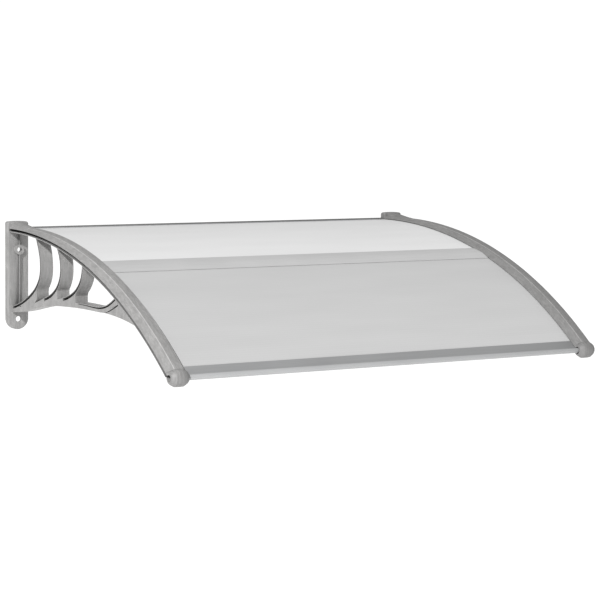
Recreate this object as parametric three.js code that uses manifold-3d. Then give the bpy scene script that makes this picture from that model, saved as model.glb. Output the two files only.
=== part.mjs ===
// Arched door canopy: two moulded wall brackets carry two hollow sheets joined along the width,
// a front bar with a rounded bead, a rear bar with a wall seal, and a rounded cap on each arch end.
// Units are millimetres. +X runs along the wall, +Y goes into the wall, +Z is up.
// The origin is on the wall plane, midway between the brackets, at mid height of the rear seal.
import * as THREE from "three";
import { mergeVertices } from "three/addons/utils/BufferGeometryUtils.js";
import Module from "manifold-3d";

// ---------- driving dimensions ----------
const HALF_WIDTH = 600; // outer faces of the wall plates
const PLATE_W = 57; // width of a wall plate
const RAIL_W = 51; // width of the arch rail
const XM = HALF_WIDTH - PLATE_W / 2; // mid-plane of a bracket
const PLATE_T = 17.5; // depth of a wall plate
const PLATE_TOP = 26.6;
const PLATE_BOTTOM = -248.4;
const SKIN = 4.5; // front skin of the plate
const WALL = 4; // side walls of the plate
const CREST = 22.4; // flat top of the rail between its two creases
const SLOT = 6.6; // height of the sheet slot
const FLANGE = 2.1; // lower flange of the rail
const WEB = 4; // central web
const RIB_W = 33; // width of slats and brace
const SHEET_T = 4.6;
const SHEET_TOP = -1.7; // top of the sheet, below the top of its slot
const ARC_Z = -793.4; // centre of the polar arch curve, at y = 0
const T_WALL = 0.018;
const T_RAIL = 1.014; // the moulded rail ends here and the cap takes over
const T_FLANGE = 1.0215; // the lower flange runs on into the cap
const T_SHEET = 1.0075;
const T_JOIN = 0.5835; // web of the middle joiner, between the two sheets
const JOIN_REAR = 0.5255; // upper flange of the joiner: rear edge, crease and front edge
const JOIN_CREASE = 0.5735;
const JOIN_FRONT = 0.6048;
const STEP = 0.025;
const BULB_Y = -873.7;
const BULB_Z = -267;
const BULB_R = 19.9; // cap radius at the creases
const BULB_SIDE_R = 12.4; // cap radius at its side faces
const CAP_INSET = 2.6; // the cap's side faces, short of the rail's
const BEAD_Y = -873.7;
const BEAD_Z = -267.6;
const BEAD_R = 6.5;

const wasm = await Module();
wasm.setup();

// ---------- solids ----------
function solid(geometry) {
  const g = geometry.index ? geometry : geometry.clone();
  g.deleteAttribute("normal");
  g.deleteAttribute("uv");
  const m = mergeVertices(g, 1e-4);
  let tri = new Uint32Array(m.index.array);
  let s = new wasm.Manifold(
    new wasm.Mesh({ numProp: 3, vertProperties: new Float32Array(m.attributes.position.array), triVerts: tri }),
  );
  if (s.volume() < 0) {
    for (let i = 0; i < tri.length; i += 3) [tri[i + 1], tri[i + 2]] = [tri[i + 2], tri[i + 1]];
    s = new wasm.Manifold(
      new wasm.Mesh({ numProp: 3, vertProperties: new Float32Array(m.attributes.position.array), triVerts: tri }),
    );
  }
  return s;
}
function geometryOf(s) {
  const m = s.getMesh();
  const n = m.numProp;
  const v = new Float32Array(m.numVert * 3);
  for (let i = 0; i < m.numVert; i++) v.set(m.vertProperties.subarray(i * n, i * n + 3), i * 3);
  const g = new THREE.BufferGeometry();
  g.setAttribute("position", new THREE.BufferAttribute(v, 3));
  g.setIndex(new THREE.BufferAttribute(new Uint32Array(m.triVerts), 1));
  g.computeVertexNormals();
  return g;
}
const join = (list) => list.reduce((a, b) => a.add(b));
const cut = (a, list) => list.reduce((s, b) => s.subtract(b), a);

function box(x0, x1, y0, y1, z0, z1) {
  const g = new THREE.BoxGeometry(x1 - x0, y1 - y0, z1 - z0);
  g.translate((x0 + x1) / 2, (y0 + y1) / 2, (z0 + z1) / 2);
  return solid(g);
}
// A closed outline in (y, z) extruded along X.
function slabX(points, x0, x1) {
  const shape = new THREE.Shape(points.map((p) => new THREE.Vector2(p[0], p[1])));
  const g = new THREE.ExtrudeGeometry(shape, { depth: x1 - x0, bevelEnabled: false });
  // shape x -> world y, shape y -> world z, depth -> world x
  const a = g.attributes.position;
  for (let i = 0; i < a.count; i++) a.setXYZ(i, x0 + a.getZ(i), a.getX(i), a.getY(i));
  return solid(g);
}
function cylinderX(r, y, z, x0, x1, seg = 32) {
  const g = new THREE.CylinderGeometry(r, r, x1 - x0, seg);
  g.rotateZ(Math.PI / 2);
  g.translate((x0 + x1) / 2, y, z);
  return solid(g);
}
function cylinderY(r0, r1, x, z, y0, y1, seg = 32) {
  const g = new THREE.CylinderGeometry(r1, r0, y1 - y0, seg);
  g.translate(x, (y0 + y1) / 2, 0);
  const s = new THREE.BufferGeometry().copy(g);
  s.translate(0, 0, z);
  return solid(s);
}

function cylinderZ(r, x, y, z0, z1, seg = 24) {
  const g = new THREE.CylinderGeometry(r, r, z1 - z0, seg);
  g.rotateX(Math.PI / 2);
  g.translate(x, y, (z0 + z1) / 2);
  return solid(g);
}

// ---------- arch curve ----------
// Polar radius of the top of the sheet slot, and height of the rail above it, at angle t from +Z to -Y.
function radius(t) {
  const u = t - 0.7;
  return 911.1 + 283.78 * u + 168.15 * u * u - 20.65 * u * u * u;
}
function crestHeight(t) {
  const u = t - 0.7;
  const y = radius(t) * Math.sin(t);
  const root = 12 * Math.pow(Math.max(0, 1 - Math.max(0, y - PLATE_T) / 80), 1.3); // fillet into the wall plate
  return 15.85 + 10.45 * u - 10.15 * u * u + root;
}
function onArch(t, v) {
  const r = radius(t) + v;
  return [-r * Math.sin(t), ARC_Z + r * Math.cos(t)];
}
// A section in (u, v) swept along the arch: u is across the bracket, v is outward.
// With crest true, v above 0 is scaled so that v = 10 lies on the crest.
function arched(section, t0, t1, xc, crest = false) {
  const shape = new THREE.Shape(section.map((p) => new THREE.Vector2(p[0], p[1])));
  const stations = [t0];
  for (let k = 1; k * STEP < t1 - 0.004; k++) if (k * STEP > t0 + 0.004) stations.push(k * STEP);
  stations.push(t1);
  const n = stations.length - 1;
  const g = new THREE.ExtrudeGeometry(shape, { depth: n, steps: n, bevelEnabled: false });
  const a = g.attributes.position;
  for (let i = 0; i < a.count; i++) {
    const t = stations[Math.round(a.getZ(i))];
    let v = a.getY(i);
    if (crest && v > 0) v *= crestHeight(t) / 10;
    const [y, z] = onArch(t, v);
    a.setXYZ(i, xc + a.getX(i), y, z);
  }
  return solid(g);
}
const rect = (u0, u1, v0, v1) => [[u0, v0], [u1, v0], [u1, v1], [u0, v1]];

// ---------- slats and brace, as strokes in the side plane ----------
// Each is a centre line of [y, z, half thickness], from the arch or the plate down or along.
const SLAT_1 = [[-160, -1.5, 3], [-170, -18, 3], [-179, -36, 3], [-185, -54, 3], [-187.5, -74, 3.1], [-186.5, -90, 3.3], [-181, -106, 3.8], [-170, -121, 4.3], [-154, -136, 4.6], [-132, -150, 4.6], [-104, -164, 4.4], [-72, -177, 4.2], [-40, -187, 4.2], [-13.5, -193.5, 4.2]];
const SLAT_2 = [[-285, -21, 3], [-295, -37, 3], [-301.5, -53, 3.1], [-304, -70, 3.2], [-302, -88, 3.5], [-295, -104, 3.9], [-283, -119, 4.3], [-266, -132, 4.6], [-244, -143.5, 4.6], [-216, -153, 4.4], [-184, -163, 4.2], [-150, -173, 4]];
const SLAT_3 = [[-424.5, -55, 3], [-422, -72, 3.1], [-416, -88, 3.4], [-405, -103, 3.9], [-389, -117, 4.3], [-367, -129, 4.6], [-338, -139.5, 4.5], [-306, -147, 4.2], [-270, -153.5, 4], [-235, -160, 4]];
const BRACE = [[-13.5, -198.5, 6.5], [-60, -192.5, 6.2], [-110, -184, 6.2], [-165, -173, 6.2], [-225, -163, 6.2], [-290, -156.4, 6.4], [-355, -152.8, 6.4], [-415, -150.8, 6], [-468, -150.4, 5.6], [-505, -150, 6], [-533, -147.8, 7.4], [-560, -141.4, 8.2], [-582, -130.5, 7.4], [-603, -118.5, 7.4]];
// The feet of the slats: they close the narrow corners where one slat runs into the next.
const FEET = [
  [[-166, -131], [-164.5, -141], [-166.5, -157], [-150, -170], [-100, -181], [-72, -186], [-72, -177], [-104, -165], [-132, -152], [-154, -138]],
  [[-288, -115], [-284, -126], [-285, -148], [-270, -154], [-235, -161], [-190, -168], [-184, -162], [-216, -153], [-244, -144], [-266, -133]],
  [[-400, -107], [-391, -119], [-386, -130], [-387, -148], [-392, -153], [-330, -156], [-270, -158], [-270, -154], [-306, -147], [-338, -140], [-367, -130]],
];
const POCKET_SKIN = 1.3;
const POCKETS = [[0.06, 0.97], [0.06, 0.84], [0.06, 0.74]]; // where each slat's side pockets run, as shares of its length
function stroke(line, inset = 0, samples = 22, from = 0, to = 1) {
  const curve = new THREE.SplineCurve(line.map((p) => new THREE.Vector2(p[0], p[1])));
  const left = [];
  const right = [];
  for (let i = 0; i <= samples; i++) {
    const f = from + ((to - from) * i) / samples;
    const p = curve.getPoint(f);
    const d = curve.getTangent(f);
    const k = f * (line.length - 1);
    const j = Math.min(line.length - 2, Math.floor(k));
    const h = line[j][2] + (line[j + 1][2] - line[j][2]) * (k - j) - inset;
    left.push([p.x - d.y * h, p.y + d.x * h]);
    right.push([p.x + d.y * h, p.y - d.x * h]);
  }
  return [...left, ...right.reverse()];
}
// The filled corner where the brace meets the rail.
const GUSSET = [[-512, -155.4], [-548, -155.1], [-573, -156], [-600, -157.6], [-629, -159.9], [-658, -163.2], [-686, -167.4], [-706, -171]];
// Recesses in both sides of the brace's front end: one along its top, one against the corner.
const RECESSES = [
  [[-402, -147, 0.7], [-435, -146.9, 0.9], [-472, -147.5, 1.2], [-508.5, -147.2, 1.6], [-538, -143.3, 2], [-564, -135.4, 2.2], [-586.5, -124.6, 2.2], [-601, -117, 2.2]],
  [[-547, -154.4, 0.5], [-562, -150, 1], [-577, -145.1, 1.5], [-593, -138.3, 1.9], [-612, -130, 2.1]],
];

// ---------- one bracket, drawn for side s (-1 left, +1 right) ----------
function plateOutline(inset) {
  const w = PLATE_W / 2 - inset;
  const top = PLATE_TOP - inset;
  const r = 6;
  const s = new THREE.Shape();
  const cz = PLATE_BOTTOM + PLATE_W / 2;
  s.moveTo(-w, cz);
  s.lineTo(-w, top - r - 1);
  s.quadraticCurveTo(-w, top - 1, -w + r, top - 0.6);
  s.quadraticCurveTo(0, top + 1.2, w - r, top - 0.6);
  s.quadraticCurveTo(w, top - 1, w, top - r - 1);
  s.lineTo(w, cz);
  s.absarc(0, cz, w, 0, -Math.PI, true);
  return s;
}
const BOSS_Z = -44.5;
const LOWER_HOLE_Z = -221.4;
function wallPlate(xc) {
  const e = 4; // rounded front edge
  const g = new THREE.ExtrudeGeometry(plateOutline(0), {
    depth: PLATE_T - e, bevelEnabled: true, bevelThickness: e, bevelSize: e, bevelOffset: -e, bevelSegments: 3, curveSegments: 14,
  });
  g.rotateX(Math.PI / 2);
  g.translate(xc, 0, 0);
  const outer = solid(g).intersect(box(xc - 40, xc + 40, -30, 0, -300, 60));
  const h = new THREE.ExtrudeGeometry(plateOutline(WALL), { depth: PLATE_T - SKIN + 1, bevelEnabled: false, curveSegments: 14 });
  h.rotateX(Math.PI / 2);
  h.translate(xc, 1, 0);
  let hollow = solid(h);
  for (const z of [6, -80, -150, -196]) hollow = hollow.subtract(box(xc - 40, xc + 40, -20, 5, z - 2.5, z + 2.5));
  return outer.subtract(hollow);
}
function bracket(s) {
  const xc = s * XM;
  const hw = RAIL_W / 2;
  const pw = PLATE_W / 2;
  const near = xc - RIB_W / 2;
  const far = xc + RIB_W / 2;
  const pad = WEB / 2;
  const rail = arched(
    [[-hw, -SLOT - FLANGE], [hw, -SLOT - FLANGE], [hw, -SLOT], [pad, -SLOT], [pad, 0], [hw, 0], [hw, 0.7], [CREST / 2, 10], [-CREST / 2, 10], [-hw, 0.7], [-hw, 0], [-pad, 0], [-pad, -SLOT], [-hw, -SLOT]],
    T_WALL, T_RAIL, xc, true,
  );
  const gusset = [...GUSSET];
  for (let t = 0.85; t > 0.66; t -= STEP) gusset.push(onArch(t, -SLOT - FLANGE / 2));
  gusset.push([-603, -126], [-585, -138], [-560, -149]);
  const strokes = [SLAT_1, SLAT_2, SLAT_3, BRACE];
  const body = join([
    wallPlate(xc),
    rail,
    ...strokes.map((l) => slabX(stroke(l, 0, l === BRACE ? 30 : 22), near, far)),
    ...FEET.map((l) => slabX(l, near, far)),
    slabX(gusset, near, far),
    cylinderY(12.5, 12.5, xc, BOSS_Z, -26.5, -PLATE_T + 1),
    box(xc - 1.3, xc + 1.3, -25, -PLATE_T + 1, -188, -4),
    arched(rect(-hw, hw, -SLOT - FLANGE, -SLOT), 0.95, T_FLANGE, xc),
  ]);
  const pockets = POCKETS.flatMap(([from, to], i) => {
    const outline = stroke(strokes[i], POCKET_SKIN, 20, from, to);
    return [slabX(outline, near - 1, xc - pad), slabX(outline, xc + pad, far + 1)];
  });
  for (const l of RECESSES) {
    const outline = stroke(l, 0, 16);
    pockets.push(slabX(outline, near - 1, xc - pad - 1), slabX(outline, xc + pad + 1, far + 1));
  }
  const keep = join([arched(rect(-hw - 2, hw + 2, -SLOT - FLANGE, 30), 0.02, T_RAIL, xc), box(xc - 60, xc + 60, -PLATE_T, 5, -300, 60)]);
  const cuts = join(pockets).subtract(keep);
  return cut(body, [
    cuts,
    // the sheet slots on both sides of the web stay clear
    arched(rect(pad, hw + 1, -SLOT, 0), 0.022, T_RAIL + 0.01, xc),
    arched(rect(-hw - 1, -pad, -SLOT, 0), 0.022, T_RAIL + 0.01, xc),
    cylinderY(6.5, 6.5, xc, BOSS_Z, -40, 2),
    cylinderY(7, 7, xc, LOWER_HOLE_Z, -30, 2),
    // screw hole to the rear bar, in the plate's inner side wall
    cylinderX(2.1, REAR_SCREW_Y, REAR_SCREW_Z, xc - s * (pw - WALL - 1), xc - s * (pw + 2), 16),
    cylinderX(2.1, REAR_SCREW_Y, REAR_SCREW_Z, xc - s * (pw + 2), xc - s * (pw - WALL - 1), 16),
  ].filter((c) => c.volume() > 0));
}

// ---------- rear bar and its screws ----------
const REAR_SCREW_Y = -9;
const REAR_SCREW_Z = -5.2;
const REAR_X = HALF_WIDTH - PLATE_W - 0.4;
const BAR_X = XM - RAIL_W / 2 - 0.4; // half length of the joiner and the front bar
const SEAL_TOP = 11.2;

// ---------- caps ----------
// The rounded end: a turned body about X that carries the rail's flanks and crest round the bead.
function capBulb(xc) {
  const hw = RAIL_W / 2 - CAP_INSET;
  const c = CREST / 2;
  const half = [[0, -hw], [BULB_SIDE_R - 1, -hw], [BULB_SIDE_R, -hw + 0.7], [BULB_SIDE_R + 2.6, -hw + 3.2], [BULB_R - 1.6, -c - 2.4], [BULB_R, -c], [BULB_R + 0.5, -c / 3]];
  const profile = [...half, ...half.map(([r, a]) => [r, -a]).reverse()];
  const g = new THREE.LatheGeometry(profile.map((p) => new THREE.Vector2(p[0], p[1])), 44);
  g.rotateZ(-Math.PI / 2);
  g.translate(xc, BULB_Y, BULB_Z);
  return solid(g);
}
function frontCap(s) {
  const xc = s * XM;
  const hw = RAIL_W / 2;
  const sleeve = arched([[-hw, 0], [hw, 0], [hw, 0.7], [CREST / 2, 10], [-CREST / 2, 10], [-hw, 0.7]], T_RAIL + 0.0003, 1.0225, xc, true);
  // room for the end of the rail
  const railEnd = arched(rect(-hw - 1, hw + 1, -SLOT - FLANGE - 0.4, 40), 0.96, T_RAIL + 0.0003, xc);
  const tongue = arched(rect(-hw - 1, hw + 1, -SLOT - FLANGE - 0.35, -SLOT + 0.35), 0.96, T_FLANGE + 0.0003, xc);
  // the empty outer slot runs on into the cap's side face
  const notch = arched(rect(Math.min(s * (hw + 1), s * (hw - 11)), Math.max(s * (hw + 1), s * (hw - 11)), -SLOT - FLANGE - 0.4, 0), 0.98, 1.034, xc);
  return cut(sleeve.add(capBulb(xc)), [
    railEnd,
    tongue,
    notch,
    // sockets for the bead of a front bar, open on both side faces; only the inner one is used
    cylinderX(BEAD_R + 1.8, BEAD_Y, BEAD_Z, xc - hw - 1, xc - hw + 17, 28),
    cylinderX(BEAD_R + 1.8, BEAD_Y, BEAD_Z, xc + hw - 17, xc + hw + 1, 28),
    // screw hole from below, and the recess for its head
    cylinderZ(2.1, xc, CAP_SCREW_Y, BULB_Z - BULB_R - 2, BULB_Z + 4, 16),
    cylinderZ(4.5, xc, CAP_SCREW_Y, BULB_Z - BULB_R - 2, BULB_Z - BULB_R + HEAD_DEEP, 20),
  ]);
}
const CAP_SCREW_Y = -873.7;
const HEAD_DEEP = 4.2; // depth of the screw recess

// A pan-head screw along +Z from its head's underside at the origin, turned and placed by the caller.
function screw(shank, r = 1.8, headR = 4, headH = 2.6) {
  const profile = [[0, -headH], [headR * 0.75, -headH], [headR, -headH * 0.55], [headR, 0], [r, 0], [r, shank - 1.5], [0.5, shank], [0, shank]];
  const g = new THREE.LatheGeometry(profile.map((p) => new THREE.Vector2(p[0], p[1])), 16);
  const body = solid(g);
  const cross = new THREE.BoxGeometry(4.2, 1.6, 0.9);
  const cross2 = new THREE.BoxGeometry(0.9, 1.6, 4.2);
  for (const c of [cross, cross2]) c.translate(0, -headH, 0);
  const made = cut(body, [solid(cross), solid(cross2)]);
  const out = geometryOf(made);
  out.rotateX(Math.PI / 2); // +Y -> +Z
  return out;
}

// ---------- front bar: a channel on the sheet's front edge, with a hollow bead along its nose ----------
function frontBar() {
  const edge = T_SHEET + 0.0006;
  // direction along the arch at the sheet's edge
  const p0 = onArch(edge - 0.004, 0);
  const p1 = onArch(edge + 0.004, 0);
  const d = new THREE.Vector2(p1[0] - p0[0], p1[1] - p0[1]).normalize();
  const n = new THREE.Vector2(d.y, -d.x); // outward
  if (n.y < 0) n.negate();
  const E = onArch(edge, SHEET_TOP);
  const at = (a, v) => [E[0] + d.x * a + n.x * v, E[1] + d.y * a + n.y * v];
  // outline in (a, v): a runs on from the sheet's front edge, v outward from its top surface
  const low = -SHEET_T - 0.5;
  const outline = [at(-10, 0.35), at(0.6, 0.35), at(0.6, low), at(-10, low), at(-10, low - 1.3), at(21, low - 1.8), at(24, -2), at(21, 1.8), at(-9.5, 1.8), at(-10, 1.4)];
  const chamber = [at(2.2, 0.3), at(16.2, 0.3), at(16.2, low + 0.1), at(2.2, low + 0.1)];
  const s = slabX(outline, -BAR_X, BAR_X).add(cylinderX(BEAD_R, BEAD_Y, BEAD_Z, -BAR_X - 12, BAR_X + 12, 28));
  return cut(s, [
    slabX(chamber, -BAR_X - 1, BAR_X + 1),
    cylinderX(BEAD_R - 1.6, BEAD_Y, BEAD_Z, -BAR_X - 20, BAR_X + 20, 20),
  ]);
}

// ---------- middle joiner: an H section on the arch, with a low hollow crown on its upper flange ----------
function joiner() {
  const x = BAR_X;
  const lay = (points) => points.map(([t, v]) => onArch(t, SHEET_TOP + v));
  const crown = lay([[JOIN_REAR, 0.1], [JOIN_REAR, 1.3], [0.536, 2.4], [0.548, 3.5], [0.5605, 4.2], [JOIN_CREASE, 4.5], [0.589, 2.9], [JOIN_FRONT, 1.3], [JOIN_FRONT, 0.1], [0.589, 0.1], [0.5705, 0.1], [0.548, 0.1]]);
  const chamber = lay([[0.5375, 1.3], [0.548, 2.25], [0.5605, 2.95], [JOIN_CREASE, 3.2], [0.587, 1.9], [0.5895, 1.3], [0.5705, 1.3], [0.548, 1.3]]);
  const under = SHEET_TOP - SHEET_T - 0.3;
  const bottom = arched(rect(-x, x, under - 1.3, under), T_JOIN - 0.0195, T_JOIN + 0.0195, 0);
  const web = arched(rect(-x, x, under - 0.5, SHEET_TOP + 0.5), T_JOIN - 0.001, T_JOIN + 0.001, 0);
  return join([slabX(crown, -x, x), bottom, web]).subtract(slabX(chamber, -x - 1, x + 1));
}

// ---------- assembly ----------
const material = (color, roughness, metalness, extra = {}) =>
  new THREE.MeshStandardMaterial({ color, roughness, metalness, ...extra });
const plastic = () => material(0x96948f, 0.5, 0.0);
const sheetMat = () => material(0xd6dade, 0.3, 0.0);
const alu = () => material(0xa9aeb2, 0.38, 0.85);

const canopy = new THREE.Group();
function put(parent, name, geometry, mat) {
  const mesh = new THREE.Mesh(geometry, mat);
  mesh.name = name;
  parent.add(mesh);
  return mesh;
}

const left = new THREE.Group();
const right = new THREE.Group();
canopy.add(left, right);
put(left, "left_bracket", geometryOf(bracket(-1)), plastic());
put(right, "right_bracket", geometryOf(bracket(1)), plastic());
put(left, "left_front_cap", geometryOf(frontCap(-1)), plastic());
put(right, "right_front_cap", geometryOf(frontCap(1)), plastic());

const sheetX = XM - WEB / 2 - 1.2;
const sheet = rect(-sheetX, sheetX, SHEET_TOP - SHEET_T, SHEET_TOP);
put(canopy, "rear_sheet", geometryOf(arched(sheet, 0.0235, T_JOIN - 0.0014, 0)), sheetMat());
put(canopy, "front_sheet", geometryOf(arched(sheet, T_JOIN + 0.0014, T_SHEET, 0)), sheetMat());
put(canopy, "middle_joiner", geometryOf(joiner()), material(0xb4b6b6, 0.42, 0.0));
put(canopy, "front_bar", geometryOf(frontBar()), alu());

// rear bar: a channel that holds the rear edge of the sheet, with a screw boss below it
const zt = onArch(0.0235, SHEET_TOP)[1];
const rear = join([
  box(-REAR_X, REAR_X, -4.2, -2.4, -11.5, zt + 1.5),
  box(-REAR_X, REAR_X, -20, -2.4, zt + 0.3, zt + 1.5),
  box(-REAR_X, REAR_X, -24, -2.4, zt - SHEET_T - 2.8, zt - SHEET_T - 1.3),
  box(-REAR_X, REAR_X, -16, -2.4, -11.5, -10.1),
  box(-REAR_X, REAR_X, -16, -14.6, -11.5, zt - SHEET_T - 1.3),
]);
put(canopy, "rear_bar", geometryOf(rear), alu());
const seal = join([
  box(-REAR_X, REAR_X, -2.1, 0, -10.5, SEAL_TOP),
  box(-REAR_X, REAR_X, -20, -0.5, zt + 1.8, zt + 2.8),
]);
put(canopy, "rear_wall_seal", geometryOf(seal), material(0x3a3b3c, 0.8, 0.0));

// ---------- screws ----------
for (const s of [-1, 1]) {
  const side = s < 0 ? "left" : "right";
  const low = screw(14);
  const m = put(s < 0 ? left : right, side + "_cap_screw", low, material(0xb9bcbe, 0.35, 0.9));
  m.position.set(s * XM, CAP_SCREW_Y, BULB_Z - BULB_R + HEAD_DEEP - 0.3);
  const side2 = screw(14);
  side2.rotateY(-s * Math.PI / 2);
  const n = put(s < 0 ? left : right, side + "_rear_bar_screw", side2, material(0xb9bcbe, 0.35, 0.9));
  n.position.set(s * (HALF_WIDTH - PLATE_W + WALL + 0.3), REAR_SCREW_Y, REAR_SCREW_Z);
}

export default canopy;
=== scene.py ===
import math

import bmesh
import bpy
from mathutils import Matrix, Vector


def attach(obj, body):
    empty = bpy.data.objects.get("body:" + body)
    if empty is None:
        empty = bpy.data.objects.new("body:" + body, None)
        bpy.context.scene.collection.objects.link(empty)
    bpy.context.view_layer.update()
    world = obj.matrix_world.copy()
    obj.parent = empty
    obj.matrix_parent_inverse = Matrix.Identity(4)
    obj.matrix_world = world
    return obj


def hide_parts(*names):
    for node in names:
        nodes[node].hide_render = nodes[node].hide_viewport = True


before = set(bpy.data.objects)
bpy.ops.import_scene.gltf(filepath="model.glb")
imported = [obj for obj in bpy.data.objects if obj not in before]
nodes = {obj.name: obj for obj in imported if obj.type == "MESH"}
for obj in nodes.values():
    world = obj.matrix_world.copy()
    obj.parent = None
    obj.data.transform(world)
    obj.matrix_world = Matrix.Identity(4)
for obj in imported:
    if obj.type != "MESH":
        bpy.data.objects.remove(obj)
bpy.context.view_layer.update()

scene = bpy.context.scene

# ---------- camera: fitted to the photograph ----------
yaw, pitch, roll = math.radians(31.64), math.radians(5.71), math.radians(0.69)
F = Vector((math.sin(yaw) * math.cos(pitch), math.cos(yaw) * math.cos(pitch), -math.sin(pitch)))
Rt = Vector((math.cos(yaw), -math.sin(yaw), 0.0))
U = Rt.cross(F)
R2 = Rt * math.cos(roll) + U * math.sin(roll)
U2 = U * math.cos(roll) - Rt * math.sin(roll)
cam_data = bpy.data.cameras.new("Camera")
cam_data.sensor_width = 36.0
cam_data.sensor_fit = "HORIZONTAL"
cam_data.lens = 2088.12 * 36.0 / 600.0
cam_data.clip_end = 100.0
cam = bpy.data.objects.new("Camera", cam_data)
scene.collection.objects.link(cam)
m = Matrix.Identity(4)
for i in range(3):
    m[i][0], m[i][1], m[i][2] = R2[i], U2[i], -F[i]
m[0][3], m[1][3], m[2][3] = -2.72975, -4.88292, 0.36270
cam.matrix_world = m
scene.camera = cam

# ---------- light ----------
scene.view_settings.view_transform = "Standard"
scene.view_settings.look = "None"
world = bpy.data.worlds.new("World")
scene.world = world
world.use_nodes = True
wt = world.node_tree
bg = wt.nodes["Background"]  # soft studio light
bg.inputs["Color"].default_value = (1.0, 1.0, 1.0, 1.0)
bg.inputs["Strength"].default_value = 0.52
seen = wt.nodes.new("ShaderNodeBackground")  # the white backdrop
seen.inputs["Color"].default_value = (1.0, 1.0, 1.0, 1.0)
seen.inputs["Strength"].default_value = 1.05
path = wt.nodes.new("ShaderNodeLightPath")
both = wt.nodes.new("ShaderNodeMixShader")
wt.links.new(path.outputs["Is Camera Ray"], both.inputs[0])
wt.links.new(bg.outputs[0], both.inputs[1])
wt.links.new(seen.outputs[0], both.inputs[2])
wt.links.new(both.outputs[0], wt.nodes["World Output"].inputs["Surface"])


def area(name, at, towards, size, power, tint=(1.0, 1.0, 1.0)):
    data = bpy.data.lights.new(name, "AREA")
    data.shape = "DISK"
    data.size = size
    data.energy = power
    data.color = tint
    o = bpy.data.objects.new(name, data)
    scene.collection.objects.link(o)
    at, towards = Vector(at), Vector(towards)
    o.location = at
    o.rotation_euler = (towards - at).to_track_quat("-Z", "Y").to_euler()
    return o


area("key_light", (-15.5, -12.5, 12.9), (-0.1, -0.3, -0.1), 1.4, 7000.0)
fill = area("rear_fill", (3.0, 8.0, -1.6), (0.0, -0.3, -0.15), 2.0, 110.0)
fill.visible_glossy = False

# ---------- node helpers ----------


class Mat:
    """A procedural material under construction."""

    def __init__(self, name):
        self.m = bpy.data.materials.new(name)
        self.m.use_nodes = True
        self.t = self.m.node_tree
        self.p = self.t.nodes["Principled BSDF"]
        self.co = self.t.nodes.new("ShaderNodeTexCoord")

    def link(self, a, b):
        self.t.links.new(a, b)

    def coords(self, scale=(1, 1, 1), source="Object", rot=(0, 0, 0)):
        n = self.t.nodes.new("ShaderNodeMapping")
        n.inputs["Scale"].default_value = scale
        n.inputs["Rotation"].default_value = rot
        self.link(self.co.outputs[source], n.inputs["Vector"])
        return n.outputs["Vector"]

    def noise(self, vec, scale, detail=3.0, rough=0.5, distort=0.0):
        n = self.t.nodes.new("ShaderNodeTexNoise")
        n.inputs["Scale"].default_value = scale
        n.inputs["Detail"].default_value = detail
        n.inputs["Roughness"].default_value = rough
        n.inputs["Distortion"].default_value = distort
        self.link(vec, n.inputs["Vector"])
        return n.outputs["Fac"]

    def ramp(self, fac, stops):
        n = self.t.nodes.new("ShaderNodeValToRGB")
        e = n.color_ramp.elements
        e[0].position, e[0].color = stops[0][0], stops[0][1]
        e[1].position, e[1].color = stops[-1][0], stops[-1][1]
        for pos, col in stops[1:-1]:
            k = e.new(pos)
            k.color = col
        self.link(fac, n.inputs["Fac"])
        return n.outputs["Color"]

    def mix(self, fac, a, b, mode="MIX"):
        n = self.t.nodes.new("ShaderNodeMix")
        n.data_type = "RGBA"
        n.blend_type = mode
        if isinstance(fac, float):
            n.inputs[0].default_value = fac
        else:
            self.link(fac, n.inputs[0])
        for sock, v in ((n.inputs[6], a), (n.inputs[7], b)):
            if isinstance(v, tuple):
                sock.default_value = v
            else:
                self.link(v, sock)
        return n.outputs[2]

    def remap(self, fac, lo, hi, a=0.0, b=1.0):
        n = self.t.nodes.new("ShaderNodeMapRange")
        n.inputs["From Min"].default_value = a
        n.inputs["From Max"].default_value = b
        n.inputs["To Min"].default_value = lo
        n.inputs["To Max"].default_value = hi
        self.link(fac, n.inputs["Value"])
        return n.outputs["Result"]

    def math(self, op, a, b=None):
        n = self.t.nodes.new("ShaderNodeMath")
        n.operation = op
        for sock, v in ((n.inputs[0], a), (n.inputs[1], b)):
            if v is None:
                continue
            if isinstance(v, (int, float)):
                sock.default_value = v
            else:
                self.link(v, sock)
        return n.outputs[0]

    def bump(self, height, strength, distance, under=None):
        n = self.t.nodes.new("ShaderNodeBump")
        n.inputs["Strength"].default_value = strength
        n.inputs["Distance"].default_value = distance
        self.link(height, n.inputs["Height"])
        if under is not None:
            self.link(under, n.inputs["Normal"])
        return n.outputs["Normal"]

    def set(self, **values):
        for k, v in values.items():
            sock = self.p.inputs[k.replace("_", " ")]
            if isinstance(v, (int, float, tuple)):
                sock.default_value = v
            else:
                self.link(v, sock)
        return self


def grey(v, warm=0.0):
    return (v * (1 + warm), v, v * (1 - warm), 1.0)


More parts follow.
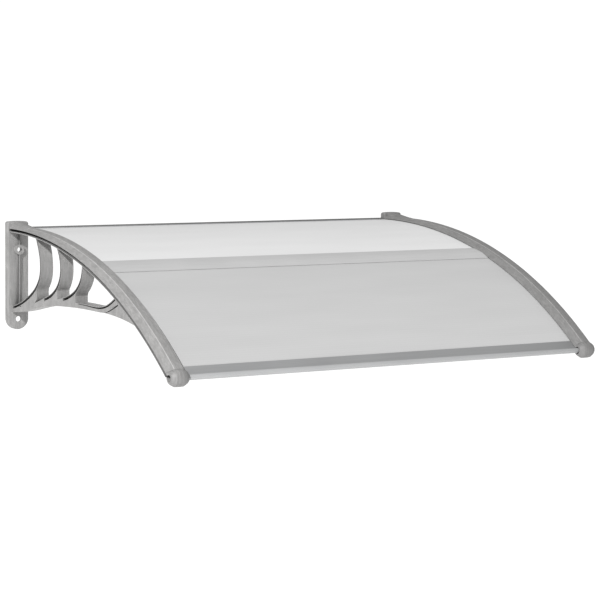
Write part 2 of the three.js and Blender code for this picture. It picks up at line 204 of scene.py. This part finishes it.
# ---------- materials ----------
def plastic(name, base):
    a = Mat(name)
    # metallic-look moulded plastic: silvery flow marks over a mottled grey
    flow = a.noise(a.coords((24, 12, 8)), 5.0, 5.0, 0.66, 1.2)
    cloud = a.noise(a.coords((1, 1, 1)), 9.0, 3.0, 0.55, 0.5)
    grain = a.noise(a.coords((1, 1, 1)), 420.0, 2.0, 0.6)
    speck = a.noise(a.coords((1, 1, 1)), 1500.0, 1.0, 0.5)
    streak = a.noise(a.coords((52, 10, 4)), 5.0, 3.0, 0.6, 0.8)
    c1 = a.ramp(flow, [(0.3, grey(base * 0.9, 0.012)), (0.5, grey(base, 0.012)), (0.72, grey(base * 1.1, 0.012))])
    c2 = a.ramp(cloud, [(0.3, grey(0.94)), (0.7, grey(1.05))])
    c3 = a.ramp(speck, [(0.35, grey(0.93)), (0.65, grey(1.07))])
    col = a.mix(1.0, c1, c2, "MULTIPLY")
    col = a.mix(1.0, col, c3, "MULTIPLY")
    col = a.mix(1.0, col, a.ramp(streak, [(0.32, grey(0.85)), (0.68, grey(1.13))]), "MULTIPLY")
    rough = a.remap(flow, 0.46, 0.6)
    b = a.bump(grain, 0.12, 0.0004)
    b = a.bump(flow, 0.10, 0.0012, b)
    a.set(Base_Color=col, Roughness=rough, Normal=b, Specular_IOR_Level=0.35)
    return a.m


def sheet_material(name, base, streak, lines):
    a = Mat(name)
    uv = a.coords((1, 1, 1), "UV")
    sep = a.t.nodes.new("ShaderNodeSeparateXYZ")
    a.link(uv, sep.inputs[0])
    # UV in metres: x along the wall, y along the arc. One web each 7.5 mm of arc.
    phase = a.math("MULTIPLY", sep.outputs["Y"], 2 * math.pi / 0.0075)
    web = a.math("POWER", a.remap(a.math("COSINE", phase), 0.0, 1.0, -1.0, 1.0), 6.0)
    long_noise = a.noise(a.coords((1.2, 160, 1), "UV"), 3.0, 4.0, 0.6)
    wide = a.noise(a.coords((1.0, 6, 1), "UV"), 2.2, 2.0, 0.5)
    c = a.ramp(long_noise, [(0.3, grey(base * (1 - streak))), (0.7, grey(base * (1 + streak)))])
    # a darker line over each web: painted shade of the webs
    c = a.mix(a.math("MULTIPLY", web, lines), c, grey(base * 0.78))
    c = a.mix(1.0, c, a.ramp(wide, [(0.3, grey(0.97)), (0.7, grey(1.02))]), "MULTIPLY")
    rough = a.remap(long_noise, 0.42 - lines, 0.44 + lines)
    b = a.bump(long_noise, 0.5 * lines, 0.0005)
    a.set(Base_Color=c, Roughness=rough, Normal=b, Specular_IOR_Level=0.4)
    return a.m


def satin(name, base, warm=0.0, metal=0.0, rough=(0.38, 0.5), stretch=(2, 120, 120)):
    a = Mat(name)
    drawn = a.noise(a.coords(stretch), 4.0, 4.0, 0.6)
    cloud = a.noise(a.coords((1, 1, 1)), 7.0, 2.0, 0.5)
    c = a.ramp(drawn, [(0.3, grey(base * 0.93, warm)), (0.7, grey(base * 1.06, warm))])
    c = a.mix(1.0, c, a.ramp(cloud, [(0.3, grey(0.96)), (0.7, grey(1.03))]), "MULTIPLY")
    r = a.remap(drawn, rough[0], rough[1])
    b = a.bump(drawn, 0.06, 0.0004)
    a.set(Base_Color=c, Roughness=r, Normal=b, Metallic=metal)
    return a.m


def rubber(name):
    a = Mat(name)
    n = a.noise(a.coords((1, 1, 1)), 300.0, 3.0, 0.6)
    w = a.noise(a.coords((3, 40, 40)), 4.0, 3.0, 0.5)
    c = a.ramp(w, [(0.3, grey(0.085)), (0.7, grey(0.13))])
    a.set(Base_Color=c, Roughness=a.remap(n, 0.62, 0.8), Normal=a.bump(n, 0.2, 0.0003))
    return a.m


def zinc(name):
    a = Mat(name)
    n = a.noise(a.coords((1, 1, 1)), 240.0, 4.0, 0.6)
    c = a.ramp(n, [(0.3, (0.52, 0.53, 0.54, 1)), (0.7, (0.68, 0.68, 0.67, 1))])
    a.set(Base_Color=c, Roughness=a.remap(n, 0.28, 0.42), Metallic=1.0, Normal=a.bump(n, 0.08, 0.0002))
    return a.m


m_plastic = plastic("bracket_plastic_grey", 0.223)
# lighter copy of the same plastic for the bevel faces: a painted highlight along edges and creases
m_plastic_edge_painted_highlight = plastic("bracket_plastic_edge_painted_highlight", 0.345)
# dark copy of the same plastic for faces inside slots and pockets: painted shade
m_plastic_recess_painted_shade = plastic("bracket_plastic_recess_painted_shade", 0.105)
# the cap's plastic is the bracket plastic darkened as painted shade
m_plastic_cap_painted_shade = plastic("bracket_plastic_cap_painted_shade", 0.205)
# right bracket: the same plastic as the left, darkened as painted shade; its edge copy is a painted highlight, also
# darkened as painted shade
m_plastic_right_painted_shade = plastic("bracket_plastic_grey_right_painted_shade", 0.158)
m_plastic_right_edge_painted_highlight_and_shade = plastic("bracket_plastic_edge_right_painted_highlight_and_shade", 0.25)
# both sheets are one material: the rear's lighter base is painted light from above, the front's darker base painted
# shade
m_sheet_rear_painted_light = sheet_material("hollow_sheet_rear_painted_light", 0.595, 0.006, 0.03)
m_sheet_front_painted_shade = sheet_material("hollow_sheet_front_painted_shade", 0.42, 0.020, 0.12)
m_joiner = satin("joiner_plastic", 0.40)
m_joiner_rear = satin("joiner_plastic_rear", 0.40)
# lighter copy of the bar's finish for the bead: a painted highlight along the bead
m_bead_painted_highlight = satin("bar_bead_painted_highlight", 0.33, -0.01, 0.1, (0.3, 0.42), (2, 200, 200))
m_bar = satin("bar_anodised", 0.255, -0.01, 0.25, (0.34, 0.46), (2, 200, 200))
m_bar2 = satin("bar_anodised_rear", 0.5, -0.01, 0.25, (0.34, 0.46), (2, 200, 200))
m_seal = rubber("seal_rubber_dark")
m_screw = zinc("screw_zinc")


def dress(obj, mat):
    obj.data.materials.clear()
    obj.data.materials.append(mat)


# ---------- arch curve of the part ----------
ARC_Z = -0.7934
SHEET_TOP = -0.0017
SHEET_T = 0.0046


def radius(t):
    u = t - 0.7
    return (911.1 + 283.78 * u + 168.15 * u * u - 20.65 * u * u * u) / 1000.0


def on_arch(t, v):
    r = radius(t) + v
    return -r * math.sin(t), ARC_Z + r * math.cos(t)


# ---------- refined copies of the moulded and drawn pieces: smooth curves, small edge radii with a painted highlight, painted shade in the recesses ---
SLOTS = {}


def refined(node, mat, width, angle=33.0, segments=2, edge=None, deep=None, deep_mat=None, creases=None):
    src = nodes[node]
    me = src.data.copy()
    me.name = node + "_detail"
    bm = bmesh.new()
    bm.from_mesh(me)
    bmesh.ops.remove_doubles(bm, verts=bm.verts, dist=2e-6)
    bmesh.ops.dissolve_limit(bm, angle_limit=math.radians(0.4), verts=bm.verts, edges=bm.edges)
    bm.to_mesh(me)
    bm.free()
    o = bpy.data.objects.new(node + "_detail", me)
    scene.collection.objects.link(o)
    me.materials.clear()
    for k in (mat, edge or mat, deep_mat or mat):
        me.materials.append(k)
    me.polygons.foreach_set("material_index", [0] * len(me.polygons))
    me.polygons.foreach_set("use_smooth", [True] * len(me.polygons))
    if creases:
        # a small radius along the long moulded creases
        weight = me.attributes.new("bevel_weight_edge", "FLOAT", "EDGE")
        for e in me.edges:
            a, b = (me.vertices[i].co for i in e.vertices)
            weight.data[e.index].value = 1.0 if creases(a, b) else 0.0
    if width > 0:
        b = o.modifiers.new("edge_radius", "BEVEL")
        b.width = width
        b.segments = segments
        b.limit_method = "WEIGHT" if creases else "ANGLE"
        b.angle_limit = math.radians(angle)
        b.use_clamp_overlap = not creases
        # the bevel faces take the edge material: a painted highlight along the radii
        if edge:
            b.material = 1
        dg = bpy.context.evaluated_depsgraph_get()
        new = bpy.data.meshes.new_from_object(o.evaluated_get(dg))
        new.name = me.name + "_mesh"
        o.modifiers.clear()
        o.data = new
        new.polygons.foreach_set("use_smooth", [True] * len(new.polygons))
    o.data.set_sharp_from_angle(angle=math.radians(angle))
    new = o.data
    which = [p.material_index for p in new.polygons]
    # faces picked by the mask take the second material: painted shade in recesses, a painted highlight on the bar's
    # bead
    if deep:
        for p in new.polygons:
            if deep(p.center, p.normal):
                which[p.index] = 2
    new.polygons.foreach_set("material_index", which)
    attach(o, "root")
    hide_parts(node)
    return o


def polar(c):
    """(t, v) of a point in the side plane: angle along the arch, height over the slot's top."""
    t = math.atan2(-c.y, c.z - ARC_Z)
    return t, math.hypot(c.y, c.z - ARC_Z) - radius(t)


def recess_painted_shade(side):
    """Faces deep in the sheet slots and in the side pockets of the slats and brace, which take the dark plastic as
    painted shade.
    """
    xc = side * 0.5715

    def test(c, n):
        t, v = polar(c)
        u = abs(c.x - xc)
        if 0.02 < t < 1.02 and -0.0068 < v < 0.0002 and u < 0.0235:
            return True
        if v < -0.0087 and c.y < -0.0176 and u < 0.0162 and abs(n.x) > 0.9:
            return u < 0.0100  # the pockets' floors
        if v < -0.0087 and c.y < -0.0176 and 0.004 < u < 0.0150 and abs(n.x) < 0.3:
            return u < 0.0118  # and their side walls, whose centres lie below the rim
        return False

    return test


def rail_creases(side):
    """The two creases of the arch's crest, and the outer edges of its lower flange."""
    xc = side * 0.5715

    def test(a, b):
        if abs(a.x - b.x) > 2e-5:
            return False
        u = abs(a.x - xc)
        ta, va = polar(a)
        tb, vb = polar(b)
        if min(ta, tb) < 0.115 or abs(ta - tb) < 0.004:
            return False
        if abs(u - 0.0112) < 3e-5:
            return va > 0.006 and vb > 0.006
        if abs(u - 0.0255) < 3e-5:
            return abs(va + 0.0087) < 5e-5 and abs(vb + 0.0087) < 5e-5
        return False

    return test


def joiner_rear(c, n):
    t, v = polar(c)
    return t < 0.5735 and v > -0.0017


# faces of the front bar's bead, which take the painted highlight
def on_bead(c, n):
    return math.hypot(c.y + 0.8737, c.z + 0.2676) < 0.0068


# the right bracket and right cap take the darker painted-shade copy of the plastic
for side, name, a, b in ((-1, "left", m_plastic, m_plastic_edge_painted_highlight), (1, "right", m_plastic_right_painted_shade, m_plastic_right_edge_painted_highlight_and_shade)):
    refined(name + "_bracket", a, 0.0009, edge=b, deep=recess_painted_shade(side), deep_mat=m_plastic_recess_painted_shade, creases=rail_creases(side))
    refined(name + "_front_cap", m_plastic_cap_painted_shade if side < 0 else a, 0.0005, edge=b)
refined("middle_joiner", m_joiner, 0.0, deep=joiner_rear, deep_mat=m_joiner_rear)
refined("front_bar", m_bar, 0.0002, deep=on_bead, deep_mat=m_bead_painted_highlight)
refined("rear_bar", m_bar2, 0.0002)
refined("rear_wall_seal", m_seal, 0.0002)
for n in ("left_cap_screw", "right_cap_screw", "left_rear_bar_screw", "right_rear_bar_screw"):
    refined(n, m_screw, 0.0001)


# ---------- twin-wall sheets: two skins and real flutes along the width ----------
def twin_wall(name, node, t0, t1, half, mat, dip):
    """One closed extruded section: outer and inner skin, with open channels between webs."""
    # arc length table
    steps = 800
    ts = [t0 + (t1 - t0) * i / steps for i in range(steps + 1)]
    pts = [on_arch(t, SHEET_TOP - SHEET_T / 2) for t in ts]
    arc = [0.0]
    for i in range(steps):
        arc.append(arc[-1] + math.hypot(pts[i + 1][0] - pts[i][0], pts[i + 1][1] - pts[i][1]))
    total = arc[-1]

    def t_at(s):
        lo, hi = 0, steps
        while hi - lo > 1:
            mid = (lo + hi) // 2
            if arc[mid] <= s:
                lo = mid
            else:
                hi = mid
        k = (s - arc[lo]) / max(arc[hi] - arc[lo], 1e-12)
        return ts[lo] + (ts[hi] - ts[lo]) * min(max(k, 0.0), 1.0)

    cells = round(total / 0.0075)
    pitch = total / cells
    web = 0.0005
    skin = 0.0006
    bm = bmesh.new()
    uv = bm.loops.layers.uv.new("UVMap")
    xs = (-half, half)

    def loop_points(points):
        return [[bm.verts.new((x, p[0], p[1])) for p, s in points] for x in xs]

    top = []
    bottom = []
    sub = 4
    for i in range(cells * sub + 1):
        s = i * pitch / sub
        f = (i % sub) / sub
        sag = dip * (1 - math.cos(2 * math.pi * f)) / 2
        t = t_at(s)
        top.append((on_arch(t, SHEET_TOP - sag), s))
        bottom.append((on_arch(t, SHEET_TOP - SHEET_T + sag), s))
    outline = top + bottom[::-1]
    ring = loop_points(outline)
    n = len(outline)
    # outer walls
    for i in range(n):
        j = (i + 1) % n
        f = bm.faces.new((ring[0][i], ring[0][j], ring[1][j], ring[1][i]))
        for l, (x, s) in zip(f.loops, ((xs[0], outline[i][1]), (xs[0], outline[j][1]), (xs[1], outline[j][1]), (xs[1], outline[i][1]))):
            l[uv].uv = (x, s)
    nt = len(top)
    # channels
    inner = []
    for c in range(cells):
        s0, s1 = c * pitch + web / 2, (c + 1) * pitch - web / 2
        if c == 0:
            s0 = web
        if c == cells - 1:
            s1 = total - web
        a = [(on_arch(t_at(s0), SHEET_TOP - skin - dip), s0), (on_arch(t_at(s1), SHEET_TOP - skin - dip), s1),
             (on_arch(t_at(s1), SHEET_TOP - SHEET_T + skin + dip), s1), (on_arch(t_at(s0), SHEET_TOP - SHEET_T + skin + dip), s0)]
        rr = loop_points(a)
        inner.append(rr)
        for i in range(4):
            j = (i + 1) % 4
            f = bm.faces.new((rr[0][j], rr[0][i], rr[1][i], rr[1][j]))
            for l, (x, s) in zip(f.loops, ((xs[0], a[j][1]), (xs[0], a[i][1]), (xs[1], a[i][1]), (xs[1], a[j][1]))):
                l[uv].uv = (x, s)
    # end faces, cell by cell: top strip, bottom strip, and the webs between channels
    for side in (0, 1):
        def face(vs):
            f = bm.faces.new(vs if side == 0 else vs[::-1])
            for l in f.loops:
                l[uv].uv = (l.vert.co.x, -l.vert.co.y)
        O = ring[side]

        def T(i):
            return O[i]

        def B(i):
            return O[n - 1 - i]

        for c in range(cells):
            q = inner[c][side]
            i0, i1 = c * sub, (c + 1) * sub
            # strip above the channel
            face([T(k) for k in range(i1, i0 - 1, -1)] + [q[0], q[1]])
            face([B(k) for k in range(i0, i1 + 1)] + [q[2], q[3]])
        # webs
        q = inner[0][side]
        face([T(0), B(0), q[3], q[0]])
        q = inner[-1][side]
        face([B(cells * sub), T(cells * sub), q[1], q[2]])
        for c in range(1, cells):
            a, b = inner[c - 1][side], inner[c][side]
            face([T(c * sub), a[1], a[2], B(c * sub), b[3], b[0]])
    bmesh.ops.recalc_face_normals(bm, faces=bm.faces)
    me = bpy.data.meshes.new(name)
    bm.to_mesh(me)
    bm.free()
    me.polygons.foreach_set("use_smooth", [True] * len(me.polygons))
    me.set_sharp_from_angle(angle=math.radians(40))
    o = bpy.data.objects.new(name, me)
    scene.collection.objects.link(o)
    dress(o, mat)
    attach(o, "root")
    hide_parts(node)
    return o


HALF = 0.5715 - 0.002 - 0.0012
twin_wall("rear_sheet_fluted", "rear_sheet", 0.0235, 0.5835 - 0.0014, HALF, m_sheet_rear_painted_light, 0.00002)
twin_wall("front_sheet_fluted", "front_sheet", 0.5835 + 0.0014, 1.0075, HALF, m_sheet_front_painted_shade, 0.00006)

# ---------- floor ----------
fm = Mat("floor_pale")
fn = fm.noise(fm.coords((1, 1, 1)), 3.0, 3.0, 0.5)
fm.set(Base_Color=fm.ramp(fn, [(0.3, grey(0.80)), (0.7, grey(0.81))]), Roughness=0.9, Emission_Color=(1.0, 1.0, 1.0, 1.0), Emission_Strength=0.68)
me = bpy.data.meshes.new("floor")
me.from_pydata([(-80, -80, -7.0), (80, -80, -7.0), (80, 80, -7.0), (-80, 80, -7.0)], [], [(0, 1, 2, 3)])
floor = bpy.data.objects.new("floor", me)
scene.collection.objects.link(floor)
me.materials.append(fm.m)
